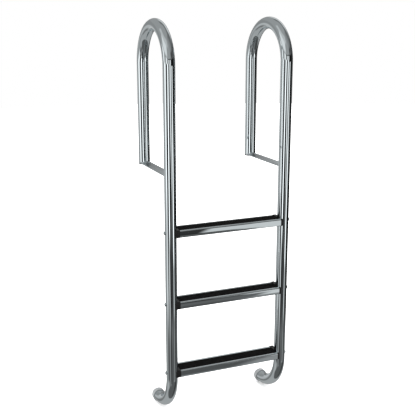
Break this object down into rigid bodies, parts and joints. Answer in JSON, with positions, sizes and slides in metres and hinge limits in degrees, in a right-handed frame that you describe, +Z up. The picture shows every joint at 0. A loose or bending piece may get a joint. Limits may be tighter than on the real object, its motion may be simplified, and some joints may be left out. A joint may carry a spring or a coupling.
{
  "type": "pool ladder",
  "caption": "Polished tube pool ladder with hooped handrails, deck straps, bolted anti-slip treads and bumpers that rest on the pool wall, for climbing out of the water.",
  "frame": {"origin": "at deck level, midway between the rails, in the plane of the front legs' axes", "axes": "+Z up, +Y from the pool side towards the deck, +X along the treads to the right as a swimmer in the water faces the wall"},
  "size_m": [0.5608, 0.3564, 1.6415],
  "materials": {
    "polished_steel": "mirror-polished stainless steel",
    "satin_steel": "satin stainless flat bar",
    "fastener_steel": "turned stainless steel",
    "black_plastic": "fine-textured black",
    "black_grip": "ribbed matt black",
    "dark_grey_plastic": "matt dark grey",
    "light_grey_rubber": "semi-matt light grey"
  },
  "bodies": {
    "root": {"left_rail": "polished_steel", "left_deck_strap": "satin_steel", "left_leg_plug": "dark_grey_plastic", "left_wall_bumper": "light_grey_rubber", "right_rail": "polished_steel", "right_deck_strap": "satin_steel", "right_leg_plug": "dark_grey_plastic", "right_wall_bumper": "light_grey_rubber", "tread_1_shell": "polished_steel", "tread_1_pad": "black_grip", "tread_1_left_cap": "black_plastic", "tread_1_left_bolt": "fastener_steel", "tread_1_left_washer": "fastener_steel", "tread_1_left_nut": "fastener_steel", "tread_1_right_cap": "black_plastic", "tread_1_right_bolt": "fastener_steel", "tread_1_right_washer": "fastener_steel", "tread_1_right_nut": "fastener_steel", "tread_2_shell": "polished_steel", "tread_2_pad": "black_grip", "tread_2_left_cap": "black_plastic", "tread_2_left_bolt": "fastener_steel", "tread_2_left_washer": "fastener_steel", "tread_2_left_nut": "fastener_steel", "tread_2_right_cap": "black_plastic", "tread_2_right_bolt": "fastener_steel", "tread_2_right_washer": "fastener_steel", "tread_2_right_nut": "fastener_steel", "tread_3_shell": "polished_steel", "tread_3_pad": "black_grip", "tread_3_left_cap": "black_plastic", "tread_3_left_bolt": "fastener_steel", "tread_3_left_washer": "fastener_steel", "tread_3_left_nut": "fastener_steel", "tread_3_right_cap": "black_plastic", "tread_3_right_bolt": "fastener_steel", "tread_3_right_washer": "fastener_steel", "tread_3_right_nut": "fastener_steel"}
  },
  "joints": []
}
